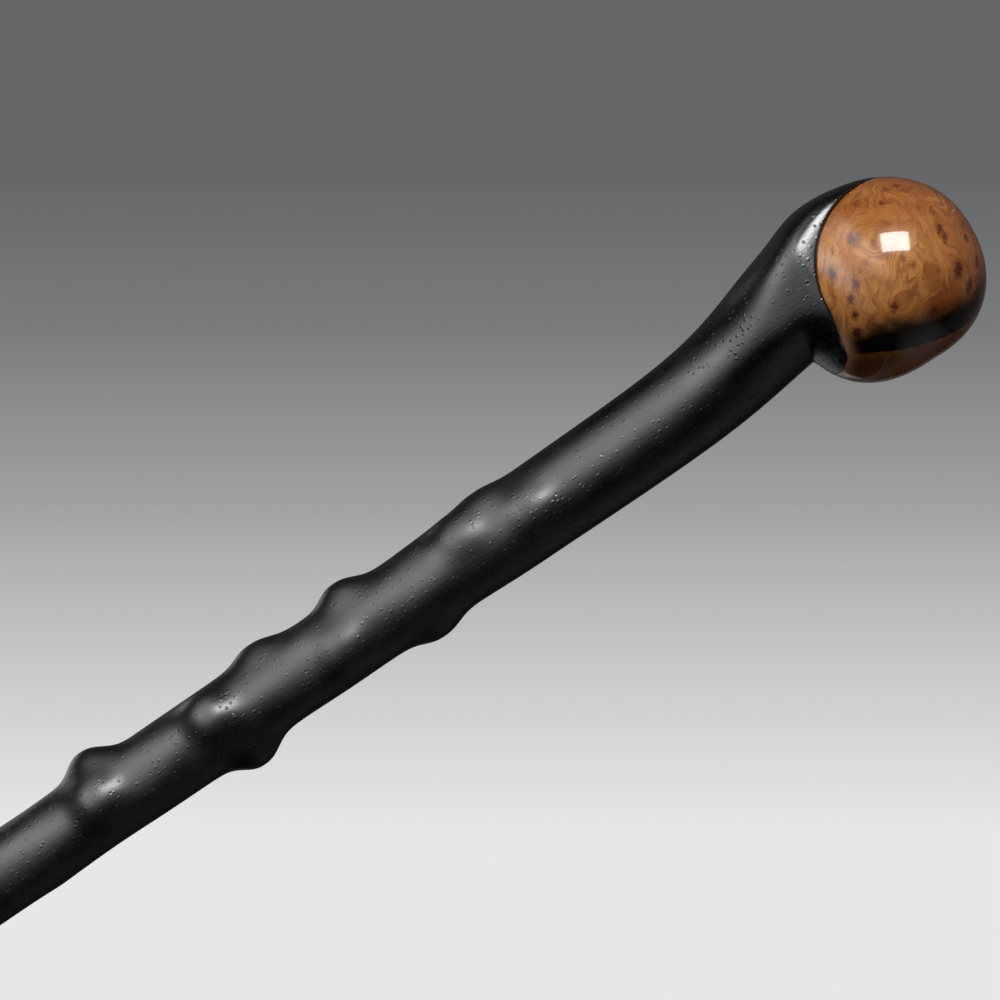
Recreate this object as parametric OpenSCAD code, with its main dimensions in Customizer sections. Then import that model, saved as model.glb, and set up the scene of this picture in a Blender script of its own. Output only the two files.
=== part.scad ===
// Shillelagh: a blackened thorn-wood walking stick with a polished burl knob.
// Millimetres. +Z runs up the shaft from the middle of the foot, and the knob overhangs towards +X.

/* [Shaft] */
// Height of the middle of the knob above the ground
knob_height = 908; // [760:1:1000]
// Radius of the plain shaft where it meets the ferrule
shaft_tip_r = 11.5; // [11.4:0.1:13]
// Radius that the plain shaft tapers to at the knob
shaft_top_r = 12.8; // [12:0.1:15]
// Extra radius of the grip under the knob
grip_swell = 1.7; // [0:0.1:3]
// Depth below the knob at which the grip has half its swell
grip_drop = 145; // [120:1:200]
// Distance over which the grip swells
grip_fade = 22; // [12:1:40]
// Sideways crook of the lower shaft
crook = 2.6; // [0:0.1:5]

/* [Thorns] */
// Mean height of a trimmed thorn on the lower shaft
thorn_h = 3.2; // [1:0.1:5]
// Reach of a thorn along the shaft, towards the foot
thorn_reach = 7.3; // [6:0.1:14]
// Reach of a thorn along the shaft, towards the knob
thorn_trail = 8.2; // [6:0.1:14]
// Reach of a thorn around the shaft
thorn_spread = 8; // [5:0.5:12]
// Fullness of a thorn, where 2 is a bell and more has steeper flanks
thorn_fullness = 2.5; // [2:0.1:4]
// Spacing of the thorns on the lower shaft
thorn_pitch = 27; // [18:1:50]
// Turn from one thorn to the next around the lower shaft
thorn_turn = 137.5; // [100:0.5:160]

/* [Neck] */
// Lean of the neck towards the back, under the knob
neck_lean = 10.8; // [6:0.1:13]
// Extra radius of the neck under the knob
neck_flare = 4.3; // [3:0.1:6]
// Extra half width of the neck from side to side
neck_breadth = 2.4; // [0:0.1:4]
// Depth below the knob at which the neck has half its lean
neck_drop = 39.5; // [36:0.5:50]
// Distance over which the neck leans
neck_fade = 12; // [9:0.5:16]
// Depth below the middle of the knob at which the neck starts to die into the hood
hood_drop = 16; // [10:0.5:20]
// Height over which the neck dies into the hood
hood_fade = 26; // [20:0.5:30]

/* [Knob] */
// Half width of the knob
knob_r = 29.6; // [28:0.1:32]
// Height of the knob above its middle
knob_rise = 31; // [29:0.1:33]
// Depth of the chin below the middle of the knob
knob_chin = 31.6; // [30:0.1:34]
// Fullness of the crown, where 2 is an ellipse
crown_fullness = 2.15; // [1.9:0.05:2.6]
// Fullness of the knob's lower sides, where 2 is an ellipse
cheek_fullness = 2.05; // [1.9:0.05:2.4]
// Fullness of the chin, where 2 is an ellipse
chin_fullness = 2.45; // [1.9:0.05:2.8]
// Lean of the crown towards the front
crown_lean = 1.2; // [0:0.1:3]
// Sharpness of the crease where the neck meets the knob
crease = 8; // [5:0.5:14]

/* [Burl seat] */
// Radius of the hollow that the burl sits back into
saddle_r = 27.6; // [26.5:0.1:28.5]
// Distance of the hollow's centre in front of the shaft's axis
saddle_forward = 1.6; // [0:0.1:3]
// Height of the hollow's centre above the middle of the knob
saddle_rise = 8.5; // [7:0.1:10]
// Depth of the hollow's floor below the shelf in front of it
hollow_dip = 0.3; // [0.2:0.1:0.6]
// Slope of the shelf towards the chin, in degrees
shelf_fall = 12.5; // [5:0.5:18]
// Distance of the shelf's front face from the shaft's axis
lip_forward = 17.3; // [14:0.1:20]
// Depth to which the corner between the shelf and its front face is eased
lip_ease = 1.6; // [0.5:0.1:3]
// Thickness of the glue between burl and shaft
glue_line = 0.1; // [0.05:0.05:0.3]

/* [Cap stud] */
// Radius of the stud
stud_r = 4; // [3:0.5:4.5]
// Chamfer of the stud's ends
stud_chamfer = 1; // [0.5:0.1:1.5]
// Length of the stud in the burl
stud_in_burl = 24; // [16:1:30]
// Length of the stud in the neck
stud_in_neck = 34; // [20:1:50]
// Distance of the stud behind the shaft's axis, in the middle of the leaning neck
stud_back = 9; // [8.5:0.5:10.5]
// Radial room for glue around the stud
stud_fit = 0.1; // [0.05:0.05:0.3]

/* [Ferrule] */
// Outer radius of the ferrule
sleeve_r = 11; // [10:0.1:11.2]
// Wall of the ferrule
sleeve_wall = 0.8; // [0.6:0.1:1.2]
// Thickness of the ferrule's closed end
sleeve_end = 2; // [1:0.5:4]
// Height of the ferrule
sleeve_h = 40; // [36:1:60]
// Thickness of the rolled rim at the top of the ferrule
rim_r = 0.6; // [0.3:0.1:0.8]
// Radial room for glue around the turned end of the shaft
tenon_fit = 0.1; // [0.05:0.05:0.3]
// Radius of a ferrule nail
nail_r = 0.9; // [0.6:0.1:1.2]
// Radius of a ferrule nail's head
nail_head_r = 1.7; // [1.4:0.1:2.2]
// Radius of the flat on a ferrule nail's head
nail_flat_r = 1.2; // [0.9:0.1:1.4]
// Thickness of a ferrule nail's head
nail_head_h = 0.6; // [0.4:0.1:1]
// Length of a ferrule nail under its head
nail_length = 7; // [4:0.5:9]
// Radial room around a ferrule nail
nail_fit = 0.05; // [0.02:0.01:0.1]
// Distance of the nails below the ferrule's rim
nail_drop = 6; // [4:0.5:8]
// Least room between a nail's head and the mouth of the rubber foot
nail_room = 0.5; // [0.3:0.1:2]

/* [Rubber foot] */
// Radius of the foot at the ground
foot_base_r = 17.5; // [16:0.5:22]
// Chamfer around the tread
foot_edge = 1; // [0.5:0.1:2]
// Height of the foot's flat rim
foot_base_h = 6; // [4:0.5:10]
// Radius of the foot above its flare
foot_waist_r = 15; // [13.5:0.5:15.5]
// Height at which the flare ends
foot_waist_h = 14; // [11:0.5:18]
// Radius of the foot at its mouth
foot_top_r = 14; // [13:0.5:14.5]
// Height of the foot
foot_h = 39; // [34:0.5:41]
// Radius of the bead around the mouth
mouth_bead_r = 1.4; // [0.5:0.1:2]
// Thickness of rubber under the washer
foot_floor = 11; // [8:0.5:14]
// Radial running room between the foot and the ferrule
foot_fit = 0.05; // [0.02:0.01:0.1]
// Room between the washer and the ferrule's closed end
foot_seat = 0.1; // [0.05:0.05:0.3]
// Radii of the grooves in the tread
tread_groove_r = [7, 12]; // [6:0.5:14]
// Width of a tread groove
tread_groove_w = 2; // [1:0.5:3]
// Depth of a tread groove
tread_groove_d = 1.5; // [1:0.5:3]
// Thickness of the washer
washer_t = 2; // [1:0.5:3]
// Radial room around the washer
washer_fit = 0.3; // [0.1:0.1:0.5]

/* [Hidden] */
$fn = 96;
// Sides of the small rounds: nails, rolled rim and bead
small_sides = 32;

// Sides of the shank, doubled on the head, and spacing of the sections along them
shank_sides = 24;
head_sides = 2 * shank_sides;
shank_step = 4.8;
neck_step = 4.5;
crease_step = 1.8;
hood_step = 3.4;
crown_steps = 9;
// Extra length of a cut past the face that it opens
past = 1;

// Stack of the tip, from the ground up
bore_r = sleeve_r + foot_fit;
sleeve_z = foot_floor + washer_t + foot_seat;
shoulder_z = sleeve_z + sleeve_h;
nail_z = max(shoulder_z - nail_drop, foot_h + nail_room + nail_head_r);
tenon_r = sleeve_r - sleeve_wall - tenon_fit;
tenon_z = sleeve_z + sleeve_end + tenon_fit;
// Length of the turned end that runs on inside the shaft
tenon_root = 4;

// Heights on the head
saddle_z = knob_height + saddle_rise;
hood_top_z = saddle_z + saddle_r / 2;
// The joint's height where the stud crosses it
stud_joint_z = saddle_z - sqrt(pow(saddle_r, 2) - pow(saddle_forward + stud_back, 2));
stud_foot_z = stud_joint_z - stud_in_neck;
stud_length = stud_in_neck + stud_in_burl;
head_foot_z = knob_height - 2 * knob_chin;
chin_foot_z = knob_height - knob_chin - crease_step;
cheek_z = knob_height - knob_chin / 2;
seat_span = 4 * knob_r;
// The corner between the shelf and its front face, and the slope of the eased face's normal
lip_fall = (lip_forward - saddle_forward) * sin(shelf_fall);
lip_z = saddle_z + (hollow_dip - saddle_r - lip_fall) / cos(shelf_fall);
lip_ease_rise = (90 - shelf_fall) / 2;

// Thorns seen on the upper shaft: depth below the knob, direction around the shaft and height
seen_thorns = [
    [127, 265, 1.6], [138, 190, 1.6], [149, 228, 2.2], [169, 4, 2.8], [188, 182, 3.6],
    [197, 282, 1.8], [205, 95, 3.4], [219, 178, 2.5], [235, 2, 4.5], [241, 246, 3.4],
    [258, 110, 3.6], [279, 178, 4.7], [283, 252, 3.0]
];
// The lower thorns climb around the shaft, and their spacing and height vary by a share from one to the next
lower_thorn_drop = 306;
lower_thorn_end = 24;
lower_thorn_side = 60;
spacing_share = 0.25;
spacing_turn = 200;
height_share = 0.3;
height_turn = 130;
lower_top_z = knob_height - lower_thorn_drop;
lower_thorn_count = floor((lower_top_z - shoulder_z - lower_thorn_end) / thorn_pitch);
thorns = concat(
    [for (t = seen_thorns) [knob_height - t[0], t[1], t[2]]],
    [for (i = [0 : lower_thorn_count]) [
        lower_top_z - thorn_pitch * (i + spacing_share * sin(spacing_turn * i)),
        lower_thorn_side + thorn_turn * i,
        thorn_h * (1 + height_share * sin(height_turn * i))
    ]]
);
// Number of reaches along the shaft after which a thorn has died out
thorn_far = 3;

// Share of a change that is complete at height z, half of it at height mid
function grown(z, mid, fade) = 1 / (1 + exp((mid - z) / fade));

// Radius of the shaft without thorns: an even taper and the swell of the grip
function plain_r(z) =
    shaft_tip_r + (shaft_top_r - shaft_tip_r) * (z - shoulder_z) / (knob_height - shoulder_z)
    + grip_swell * grown(z, knob_height - grip_drop, grip_fade);

// Crook of the lower shaft, which is straight at the tip and along the seen part
function crook_share(z) = max(0, min(1, (z - shoulder_z) / (lower_top_z - shoulder_z)));
function crook_x(z) = let (t = crook_share(z)) crook * sin(180 * t) * sin(360 * t);
function crook_y(z) = let (t = crook_share(z)) crook * pow(sin(180 * t), 2) * cos(360 * t);

// Distance from the Z axis to an off-centre ellipse, in direction a
function ellipse_reach(a, cx, cy, rx, ry) =
    let (
        square = pow(cos(a) / rx, 2) + pow(sin(a) / ry, 2),
        half = cx * cos(a) / pow(rx, 2) + cy * sin(a) / pow(ry, 2),
        rest = pow(cx / rx, 2) + pow(cy / ry, 2) - 1
    )
    (half + sqrt(half * half - square * rest)) / square;

// Neck and shank: an ellipse that leans back and widens towards the knob, and dies into the hood
function neck_end(z) =
    let (t = max(0, (z - knob_height + hood_drop) / hood_fade)) sqrt(max(0, 1 - t * t));
function neck_reach(z, a) =
    let (g = grown(z, knob_height - neck_drop, neck_fade), r = plain_r(z) + neck_flare * g)
    neck_end(z) * ellipse_reach(a, crook_x(z) - neck_lean * g, crook_y(z), r, r + neck_breadth * g);

// Knob: a full curve up to the crown, which leans forwards, and down to the cheeks and the fuller chin
function knob_curve(share, fullness) = pow(max(0, 1 - pow(share, fullness)), 1 / fullness);
function knob_reach(z, a) =
    let (
        up = max(0, z - knob_height) / knob_rise,
        down = max(0, knob_height - z) / knob_chin,
        fullness = cheek_fullness + (chin_fullness - cheek_fullness) * pow((1 + cos(a)) / 2, 2),
        wide = knob_curve(up, crown_fullness) * knob_curve(down, fullness),
        r = knob_r * wide
    )
    r > 0 ? ellipse_reach(a, 2 * crown_lean * up * wide, 0, r, r) : 0;

// Height that the thorns add at height z, in direction a
function turn_between(a, b) = a - b - 360 * round((a - b) / 360);
function thorn_rise(z, a, t) =
    let (
        above = z - t[0],
        along = above / (above < 0 ? thorn_reach : thorn_trail),
        around = turn_between(a, t[1]) * PI / 180 * plain_r(z) / thorn_spread
    )
    abs(along) > thorn_far ? 0 : t[2] * exp(-pow(along * along + around * around, thorn_fullness / 2));
function thorns_rise(z, a) =
    [for (t = thorns) thorn_rise(z, a, t)] * [for (t = thorns) 1];

// Outer form of the whole stick: neck and knob run into each other with a soft crease
function stick_reach(z, a) =
    pow(pow(neck_reach(z, a), crease) + pow(knob_reach(z, a), crease), 1 / crease) + thorns_rise(z, a);

// Section heights from one level up to just under the next
function levels(from, to, step) =
    let (n = ceil((to - from) / step))
    [for (i = [0 : n - 1]) from + i * (to - from) / n];
shank_z = levels(shoulder_z, head_foot_z, shank_step);
chin_z = concat(
    levels(chin_foot_z, cheek_z, crease_step),
    levels(cheek_z, hood_top_z, hood_step),
    [hood_top_z]
);
head_z = concat(levels(head_foot_z, chin_foot_z, neck_step), chin_z);
crown_from = asin((hood_top_z - knob_height) / knob_rise);
crown_z = [
    for (i = [1 : crown_steps - 1])
        knob_height + knob_rise * sin(crown_from + (90 - crown_from) * i / crown_steps)
];

// Level section of the outer form, and the faces between two sections
function section(z, sides) =
    [
        for (j = [0 : sides - 1])
            let (a = 360 * j / sides, r = stick_reach(z, a))
            [r * cos(a), r * sin(a), z]
    ];
function band(low, high, sides) = [
    for (j = [0 : sides - 1]) let (k = (j + 1) % sides)
        each [[low + j, high + j, high + k], [low + j, high + k, low + k]]
];
function doubling_band(low, high, sides) = [
    for (j = [0 : sides - 1])
        let (k = (j + 1) % sides, m = high + 2 * j, n = high + (2 * j + 2) % (2 * sides))
        each [[low + j, m, m + 1], [low + j, m + 1, low + k], [low + k, m + 1, n]]
];
function bands(first, count, sides) =
    [for (i = [0 : count - 2]) each band(first + i * sides, first + (i + 1) * sides, sides)];

// Loft of the stick's outer form, from the ferrule to the top of the hood
module timber() {
    head_first = len(shank_z) * shank_sides;
    top_first = head_first + (len(head_z) - 1) * head_sides;
    points = concat(
        [for (z = shank_z) each section(z, shank_sides)],
        [for (z = head_z) each section(z, head_sides)]
    );
    faces = concat(
        bands(0, len(shank_z), shank_sides),
        doubling_band(head_first - shank_sides, head_first, shank_sides),
        bands(head_first, len(head_z), head_sides),
        [[for (j = [0 : shank_sides - 1]) j], [for (j = [head_sides - 1 : -1 : 0]) top_first + j]]
    );
    polyhedron(points, faces, convexity = 4);
}

// Room for the burl: a hollow at the back, a sloping shelf, and a lip over its eased corner and front face
module burl_room(extra) {
    translate([saddle_forward, 0, saddle_z])
        rotate([90, 0, 0]) {
            cylinder(r = saddle_r + extra, h = seat_span, center = true);
            rotate([0, 0, -shelf_fall])
                translate([0, hollow_dip - saddle_r - extra, -seat_span / 2])
                    cube([seat_span, seat_span, seat_span]);
        }
    translate([lip_forward - extra, -seat_span / 2, head_foot_z])
        cube([seat_span, seat_span, seat_span]);
    translate([lip_forward, 0, lip_z])
        rotate([0, -lip_ease_rise, 0])
            translate([-lip_ease - extra, -seat_span / 2, -knob_r / 2])
                cube([knob_r, seat_span, knob_r]);
}

// Loft of the whole knob, from under the chin to the top of the crown, before it is cut to the seat
module knob_block() {
    knob_z = concat(chin_z, crown_z);
    count = len(knob_z);
    top_first = (count - 1) * head_sides;
    pole = count * head_sides;
    points = concat(
        [for (z = knob_z) each section(z, head_sides)],
        [[0, 0, knob_height + knob_rise]]
    );
    faces = concat(
        bands(0, count, head_sides),
        [for (j = [0 : head_sides - 1]) [top_first + j, pole, top_first + (j + 1) % head_sides]],
        [[for (j = [0 : head_sides - 1]) j]]
    );
    polyhedron(points, faces, convexity = 2);
}

module stud_bore() {
    translate([-stud_back, 0, stud_foot_z - stud_fit])
        cylinder(r = stud_r + stud_fit, h = stud_length + 2 * stud_fit);
}

// The ferrule's two nails lie across the stick, one from each side
module each_nail() {
    for (side = [0, 180])
        rotate([0, 0, side])
            translate([sleeve_r, 0, nail_z])
                rotate([0, -90, 0])
                    children();
}

module nail_bores() {
    each_nail()
        translate([0, 0, -past])
            cylinder(r = nail_r + nail_fit, h = nail_length + nail_fit + past, $fn = small_sides);
}

// Thorn-wood stick, blackened, with its end turned down for the ferrule
module shaft() {
    color([0.05, 0.05, 0.055])
        difference() {
            union() {
                timber();
                translate([0, 0, tenon_z])
                    cylinder(r = tenon_r, h = shoulder_z - tenon_z + tenon_root);
            }
            burl_room(glue_line);
            stud_bore();
            nail_bores();
        }
}

// Polished burl block, scribed to the hood and glued on
module burl_cap() {
    color([0.66, 0.42, 0.22])
        difference() {
            intersection() {
                knob_block();
                burl_room(0);
            }
            stud_bore();
        }
}

// Steel stud across the knob joint, with chamfered ends
module cap_stud() {
    end_r = stud_r - stud_chamfer;
    color([0.62, 0.63, 0.65])
        translate([-stud_back, 0, stud_foot_z])
            rotate_extrude()
                polygon([
                    [0, 0], [end_r, 0], [stud_r, stud_chamfer],
                    [stud_r, stud_length - stud_chamfer], [end_r, stud_length], [0, stud_length]
                ]);
}

// Brass ferrule: a closed cup with a rolled rim
module tip_sleeve() {
    color([0.72, 0.56, 0.27])
        difference() {
            translate([0, 0, sleeve_z])
                union() {
                    cylinder(r = sleeve_r, h = sleeve_h);
                    translate([0, 0, sleeve_h - rim_r])
                        rotate_extrude()
                            translate([sleeve_r, 0])
                                circle(r = rim_r, $fn = small_sides);
                }
            translate([0, 0, sleeve_z + sleeve_end])
                cylinder(r = sleeve_r - sleeve_wall, h = sleeve_h);
            nail_bores();
        }
}

// Brass nails that hold the ferrule
module sleeve_pins() {
    color([0.70, 0.53, 0.25])
        each_nail()
            union() {
                cylinder(r = nail_r, h = nail_length, $fn = small_sides);
                translate([0, 0, -nail_head_h])
                    cylinder(r1 = nail_flat_r, r2 = nail_head_r, h = nail_head_h, $fn = small_sides);
            }
}

// Push-on rubber foot with a flared base, a beaded mouth and a grooved tread
module rubber_foot() {
    color([0.09, 0.09, 0.09])
        difference() {
            union() {
                rotate_extrude()
                    polygon([
                        [0, 0], [foot_base_r - foot_edge, 0], [foot_base_r, foot_edge],
                        [foot_base_r, foot_base_h], [foot_waist_r, foot_waist_h],
                        [foot_top_r, foot_h], [0, foot_h]
                    ]);
                translate([0, 0, foot_h - mouth_bead_r])
                    rotate_extrude()
                        translate([foot_top_r, 0])
                            circle(r = mouth_bead_r, $fn = small_sides);
            }
            translate([0, 0, foot_floor])
                cylinder(r = bore_r, h = foot_h);
            for (r = tread_groove_r)
                translate([0, 0, -past])
                    difference() {
                        cylinder(r = r + tread_groove_w / 2, h = tread_groove_d + past);
                        cylinder(r = r - tread_groove_w / 2, h = tread_groove_d + past);
                    }
        }
}

// Steel disc that stops the ferrule cutting through the rubber
module foot_washer() {
    color([0.58, 0.59, 0.61])
        translate([0, 0, foot_floor])
            cylinder(r = bore_r - washer_fit, h = washer_t);
}

shaft();
burl_cap();
cap_stud();
tip_sleeve();
sleeve_pins();
rubber_foot();
foot_washer();
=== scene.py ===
"""Shillelagh: a blackened thorn-wood stick with a polished burl knob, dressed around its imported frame."""

import bpy
import numpy as np
from mathutils import Matrix, Vector


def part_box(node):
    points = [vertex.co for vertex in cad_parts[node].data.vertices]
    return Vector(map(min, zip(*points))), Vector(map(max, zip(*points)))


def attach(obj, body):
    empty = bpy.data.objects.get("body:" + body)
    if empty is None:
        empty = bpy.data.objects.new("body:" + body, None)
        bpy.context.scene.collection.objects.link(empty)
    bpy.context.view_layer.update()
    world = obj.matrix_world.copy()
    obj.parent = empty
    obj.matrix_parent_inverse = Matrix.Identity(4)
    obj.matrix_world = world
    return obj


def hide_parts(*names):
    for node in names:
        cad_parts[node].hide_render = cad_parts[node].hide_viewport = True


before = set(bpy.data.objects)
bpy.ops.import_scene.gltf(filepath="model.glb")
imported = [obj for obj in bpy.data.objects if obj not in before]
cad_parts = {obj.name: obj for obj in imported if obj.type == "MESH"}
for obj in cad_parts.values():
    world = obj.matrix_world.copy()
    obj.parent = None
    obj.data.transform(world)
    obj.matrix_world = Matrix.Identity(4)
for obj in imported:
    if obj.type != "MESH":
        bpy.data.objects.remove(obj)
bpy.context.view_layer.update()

# Shaft
# One length of blackthorn with its bark on: a shank with trimmed thorns, a smooth grip, and a neck that leans
# back and runs up behind the knob as a hood. It is stained black and rubbed down to a satin finish.
# Its sizes are in millimetres from the ground, and a mesh is put into metres when it is made.
MM = 0.001
knob_rise = 31.0
knob_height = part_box("burl_cap")[1].z / MM - knob_rise
shoulder_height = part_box("tip_sleeve")[1].z / MM
tenon_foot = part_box("shaft")[0].z / MM
tenon_radius = 10.1
tip_radius = 11.5
top_radius = 12.8
grip_swell = 1.7
grip_drop = 145.0
grip_fade = 22.0
crook = 2.6
thorn_reach = 7.3
thorn_trail = 8.2
thorn_spread = 8.0
thorn_fullness = 2.5
neck_lean = 10.8
neck_flare = 4.3
neck_breadth = 2.4
neck_drop = 39.5
neck_fade = 12.0
hood_drop = 16.0
hood_fade = 26.0
knob_radius = 29.6
knob_chin = 31.6
crown_fullness = 2.15
cheek_fullness = 2.05
chin_fullness = 2.45
crown_lean = 1.2
crease = 8.0
saddle_radius = 27.6
saddle_forward = 1.6
saddle_height = knob_height + 8.5
hollow_dip = 0.3
shelf_fall = np.radians(12.5)
lip_forward = 17.3
lip_ease = 1.6
glue_line = 0.1

# Thorns seen on the upper shaft: drop below the knob, direction in degrees and height
seen_thorns = np.array([
    (127, 265, 1.6), (138, 190, 1.6), (149, 228, 2.2), (169, 4, 2.8), (188, 182, 3.6),
    (197, 282, 1.8), (205, 95, 3.4), (219, 178, 2.5), (235, 2, 4.5), (241, 246, 3.4),
    (258, 110, 3.6), (279, 178, 4.7), (283, 252, 3.0),
])
# The lower thorns climb around the shaft, and their spacing and height vary from one to the next. The turns
# are in degrees from each thorn to the one below it.
lower_top = knob_height - 306.0
lower_room = 24.0
lower_pitch = 27.0
lower_size = 3.2
first_side = 60.0
side_turn = 137.5
pitch_swing = 0.25
pitch_turn = 200.0
size_swing = 0.3
size_turn = 130.0
lower_number = np.arange(np.floor((lower_top - shoulder_height - lower_room) / lower_pitch) + 1)
lower_place = lower_number + pitch_swing * np.sin(np.radians(pitch_turn * lower_number))
lower_growth = 1 + size_swing * np.sin(np.radians(size_turn * lower_number))
thorn_height = np.concatenate([knob_height - seen_thorns[:, 0], lower_top - lower_pitch * lower_place])
thorn_side = np.radians(np.concatenate([seen_thorns[:, 1], first_side + side_turn * lower_number]))
thorn_size = np.concatenate([seen_thorns[:, 2], lower_size * lower_growth])


def grown(height, middle, fade):
    """Share of a change that is complete at a height: a smooth step, half of it done at the middle."""
    return 1 / (1 + np.exp((middle - height) / fade))


def plain_radius(height):
    """Radius without thorns: an even taper from the tip to the knob, plus the swell of the grip."""
    taper = (height - shoulder_height) / (knob_height - shoulder_height)
    swell = grip_swell * grown(height, knob_height - grip_drop, grip_fade)
    return tip_radius + (top_radius - tip_radius) * taper + swell


def crook_shift(height):
    """Sideways shift of the lower shaft's middle: two waves that die out at the tip and at the seen part."""
    share = np.clip((height - shoulder_height) / (lower_top - shoulder_height), 0, 1)
    forward = crook * np.sin(np.pi * share) * np.sin(2 * np.pi * share)
    sideways = crook * np.sin(np.pi * share) ** 2 * np.cos(2 * np.pi * share)
    return forward, sideways


def ellipse_reach(angle, forward, sideways, radius, breadth):
    """Distance from the axis to an ellipse set off from it: the far root of its quadratic equation."""
    square = (np.cos(angle) / radius) ** 2 + (np.sin(angle) / breadth) ** 2
    half = forward * np.cos(angle) / radius**2 + sideways * np.sin(angle) / breadth**2
    rest = (forward / radius) ** 2 + (sideways / breadth) ** 2 - 1
    return (half + np.sqrt(half**2 - square * rest)) / square


def neck_reach(height, angle):
    """Shank and neck: an ellipse that leans back and widens towards the knob, and dies into the hood."""
    share = grown(height, knob_height - neck_drop, neck_fade)
    radius = plain_radius(height) + neck_flare * share
    forward, sideways = crook_shift(height)
    past = np.clip((height - knob_height + hood_drop) / hood_fade, 0, 1)
    reach = ellipse_reach(angle, forward - neck_lean * share, sideways, radius, radius + neck_breadth * share)
    return np.sqrt(1 - past**2) * reach


def knob_curve(share, fullness):
    """Width left at a share of the way to the knob's top or bottom: a quarter of a superellipse."""
    return np.clip(1 - share**fullness, 0, 1) ** (1 / fullness)


least_radius = 1e-6


def knob_reach(height, angle):
    """Knob: a superellipse up to the crown, which leans forwards, and one down to cheeks and fuller chin."""
    up = np.maximum(height - knob_height, 0) / knob_rise
    down = np.maximum(knob_height - height, 0) / knob_chin
    fullness = cheek_fullness + (chin_fullness - cheek_fullness) * ((1 + np.cos(angle)) / 2) ** 2
    wide = knob_curve(up, crown_fullness) * knob_curve(down, fullness)
    radius = np.maximum(knob_radius * wide, least_radius)
    return np.where(wide > 0, ellipse_reach(angle, 2 * crown_lean * up * wide, 0.0, radius, radius), 0.0)


def thorn_rise(height, angle):
    """Height of the trimmed thorns: each is a full bell curve, steeper towards the foot than the knob."""
    above = height[..., None] - thorn_height
    along = above / np.where(above < 0, thorn_reach, thorn_trail)
    turn = (angle[..., None] - thorn_side + np.pi) % (2 * np.pi) - np.pi
    around = turn * plain_radius(height)[..., None] / thorn_spread
    return (thorn_size * np.exp(-((along**2 + around**2) ** (thorn_fullness / 2)))).sum(axis=-1)


def stick_reach(height, angle):
    """Outer form of the whole stick: neck and knob joined by a high power mean, with the thorns on top."""
    joined = (neck_reach(height, angle) ** crease + knob_reach(height, angle) ** crease) ** (1 / crease)
    return joined + thorn_rise(height, angle)


def burl_depth(forward, height):
    """Depth inside the burl's seat, below 0 in the black wood, seen from the side of the stick.

    It is the greatest of the depths in the hollow's circle, over the sloping shelf, past the shelf's eased
    corner and in front of its lip.
    """
    across = forward - saddle_forward
    up = height - saddle_height
    in_hollow = saddle_radius - np.hypot(across, up)
    past_hollow = across * np.cos(shelf_fall) - up * np.sin(shelf_fall) > 0
    over = across * np.sin(shelf_fall) + up * np.cos(shelf_fall) + saddle_radius - hollow_dip
    on_shelf = np.where(past_hollow, over, in_hollow)
    lip_fall = (lip_forward - saddle_forward) * np.sin(shelf_fall)
    lip_height = saddle_height + (hollow_dip - saddle_radius - lip_fall) / np.cos(shelf_fall)
    ease_rise = (np.pi / 2 - shelf_fall) / 2
    eased = (forward - lip_forward) * np.cos(ease_rise) + (height - lip_height) * np.sin(ease_rise) + lip_ease
    return np.maximum.reduce([in_hollow, on_shelf, forward - lip_forward, eased])


halvings = 40
near_crown = 0.9


def seam_height(angle, room):
    """Height at which the outer form passes into the burl, for each direction, found by halving."""
    low = np.full_like(angle, knob_height - 2 * knob_chin)
    high = np.full_like(angle, knob_height + near_crown * knob_rise)
    for _ in range(halvings):
        middle = (low + high) / 2
        inside = burl_depth(stick_reach(middle, angle) * np.cos(angle), middle) > -room
        low = np.where(inside, low, middle)
        high = np.where(inside, middle, high)
    return low


# Waves of the bark: height for one radian, number around, start in radians and share of the depth
bark_table = np.array([(17.0, 2, 0.0, 1.0), (9.5, -3, 1.3, 1.0), (5.3, 5, 0.4, 0.6)])
bark_depth = 0.11
bark_drop = 132.0
bark_fade = 10.0


def bark_waves(height, angle):
    """Slow unevenness of the bark: three crossed waves around and along, gone on the smooth grip and neck."""
    length, around, start, share = bark_table.T
    waves = share * np.sin(height[..., None] / length + around * angle[..., None] + start)
    return bark_depth * waves.sum(axis=-1) * (1 - grown(height, knob_height - bark_drop, bark_fade))


def way_from_end(reach, height):
    """Distance of each point from the top row, measured along its own column."""
    steps = np.hypot(np.diff(reach, axis=0), np.diff(height, axis=0))
    return np.concatenate([np.cumsum(steps[::-1], axis=0)[::-1], np.zeros_like(steps[:1])])


def rings_at(reach, height, angle):
    """Points of level rings: the reach turned into X and Y by its direction."""
    return np.stack([reach * np.cos(angle), reach * np.sin(angle), height], axis=-1)


def ring_faces(ring_count, side_count):
    """Quads between neighbouring rings, facing outwards where the rings go up."""
    ring, side = np.meshgrid(np.arange(ring_count - 1), np.arange(side_count), indexing="ij")
    near = ring * side_count
    following = (side + 1) % side_count
    corners = [near + side, near + following, near + side_count + following, near + side_count + side]
    return np.stack(corners, axis=-1).reshape(-1, 4).tolist()


def fan_faces(first, side_count, pole, upwards):
    """Triangles from a ring to its pole."""
    side = first + np.arange(side_count)
    following = first + (np.arange(side_count) + 1) % side_count
    corners = [side, following] if upwards else [following, side]
    return np.stack([*corners, np.full(side_count, pole)], axis=-1).tolist()


def seat_faces(first, side_count, upwards):
    """Strips straight across a ring, each from one side to its mirror image, which close the burl's seat."""
    half = side_count // 2
    one = np.arange(1, half - 1)
    quads = np.stack([one, one + 1, side_count - one - 1, side_count - one], axis=-1)
    ends = np.array([(0, 1, side_count - 1), (half - 1, half, half + 1)])
    if not upwards:
        quads = quads[:, ::-1]
        ends = ends[:, ::-1]
    return (first + quads).tolist() + (first + ends).tolist()


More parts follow.
